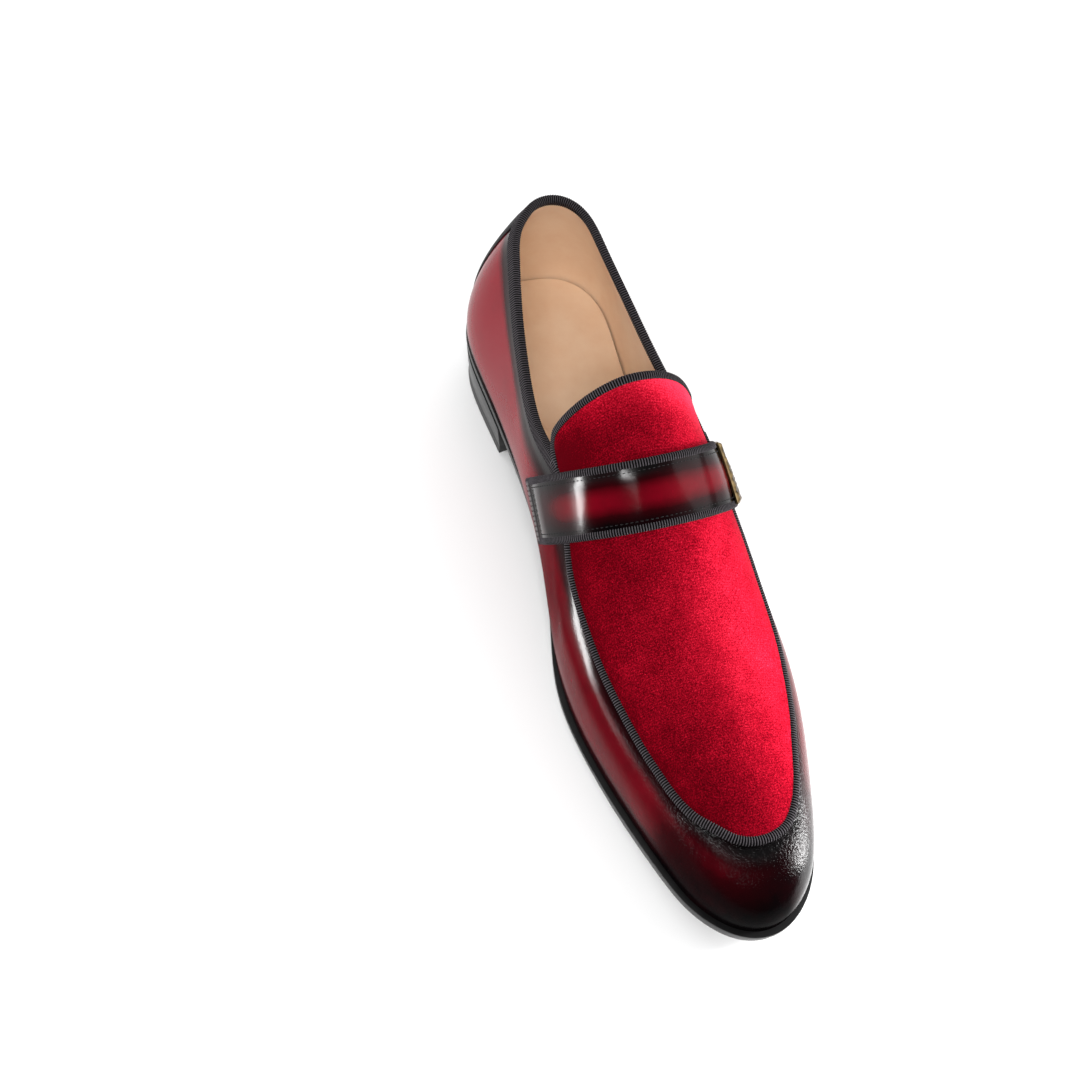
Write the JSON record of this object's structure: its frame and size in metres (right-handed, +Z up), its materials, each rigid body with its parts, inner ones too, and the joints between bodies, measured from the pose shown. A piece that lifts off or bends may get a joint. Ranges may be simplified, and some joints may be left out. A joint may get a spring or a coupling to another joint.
{
  "type": "loafer",
  "caption": "Left loafer with a hollow burgundy leather upper, velvet apron and tongue, ribbed bindings, instep strap with brass plate, thin sole and low stacked heel.",
  "frame": {"origin": "middle of the bounding box at floor level", "axes": "+X from heel to toe, +Y to the outer side of the left foot, +Z up from the floor"},
  "size_m": [0.3152, 0.0912, 0.11],
  "materials": {
    "burgundy_leather": "burnished, high gloss",
    "crimson_velvet": "short pile velvet",
    "black_grosgrain": "ribbed tape, matt",
    "black_leather": "polished",
    "black_rubber": "matt",
    "tan_lining": "satin",
    "antique_brass": "hammered, antique"
  },
  "bodies": {
    "root": {"heel_top_piece": "black_rubber", "heel_stack": "black_leather", "outsole": "black_leather", "welt_layer": "black_leather", "insole": "tan_lining", "upper": "burgundy_leather", "back_strip": "black_leather", "apron_velvet": "crimson_velvet", "apron_binding": "black_grosgrain", "tongue_binding": "black_grosgrain", "collar_binding": "black_grosgrain", "strap": "burgundy_leather", "strap_tape_rear": "black_grosgrain", "strap_tape_front": "black_grosgrain", "badge": "antique_brass"}
  },
  "joints": []
}
